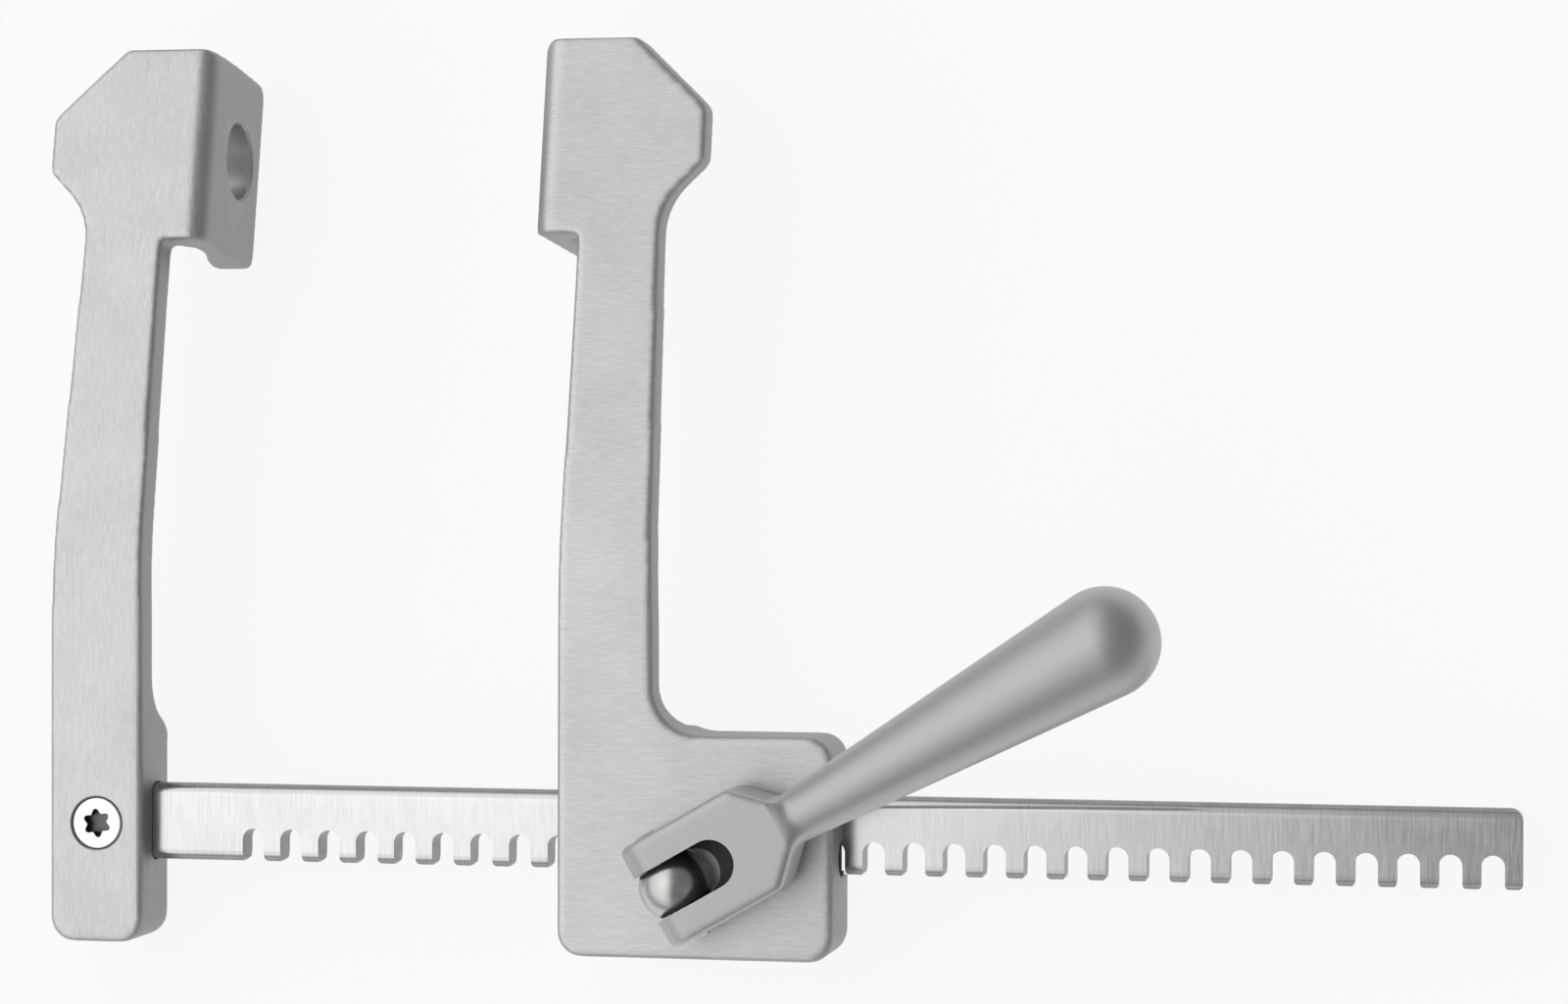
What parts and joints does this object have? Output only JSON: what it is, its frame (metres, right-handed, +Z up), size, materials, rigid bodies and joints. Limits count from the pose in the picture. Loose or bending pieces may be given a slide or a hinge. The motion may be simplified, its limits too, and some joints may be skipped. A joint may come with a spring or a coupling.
{
  "type": "rib spreader",
  "caption": "Rack-and-crank rib spreader: toothed bar, fixed and sliding arm with round blade sockets, lantern pinion in a housing, folding ball-ended crank handle.",
  "frame": {"origin": "middle of the footprint of the instrument lying on its back, on the plane it rests on", "axes": "+X along the rack, from the fixed arm to the rack's free end; +Y from the rack towards the heads; +Z up, out of the crank side"},
  "size_m": [0.283, 0.1754, 0.0553],
  "materials": {
    "satin_alloy": "satin brushed fronts, fine blasted sides",
    "blasted_alloy": "matte bead blasted",
    "polished_steel": "bright, finely brushed",
    "bearing_bronze": "turned"
  },
  "bodies": {
    "fixed_frame": {"fixed_arm": "satin_alloy", "rack_bar": "polished_steel", "rack_screw": "polished_steel"},
    "sliding_arm": {"movable_arm": "satin_alloy", "housing_back_cover": "satin_alloy", "cover_screw_1": "polished_steel", "cover_screw_2": "polished_steel", "cover_screw_3": "polished_steel", "cover_screw_4": "polished_steel", "front_bush": "bearing_bronze", "rear_bush": "bearing_bronze", "thrust_washer": "polished_steel"},
    "crank": {"crank_shaft": "polished_steel", "pinion_front_disc": "polished_steel", "pinion_rear_disc": "polished_steel", "drive_pin_1": "polished_steel", "drive_pin_2": "polished_steel", "hinge_pin": "polished_steel"},
    "handle": {"crank_handle": "blasted_alloy"}
  },
  "joints": [
    {"name": "arm_slide", "type": "slide", "parent": "fixed_frame", "child": "sliding_arm", "axis": [1, 0, 0], "range_m": [-0.06, 0.135]},
    {"name": "crank_spin", "type": "hinge", "parent": "sliding_arm", "child": "crank", "pos_m": [-0.0101, -0.07515, 0.0307], "axis": [0, -0.2028, 0.9792], "range_deg": [-1440, 3240]},
    {"name": "handle_fold", "type": "hinge", "parent": "crank", "child": "handle", "pos_m": [-0.0101, -0.07515, 0.0307], "axis": [0.497, -0.8497, -0.176], "range_deg": [0, 173]}
  ],
  "couplings": [
    {"joint": "arm_slide", "follows": "crank_spin", "m_per_rad": 0.0023873}
  ]
}
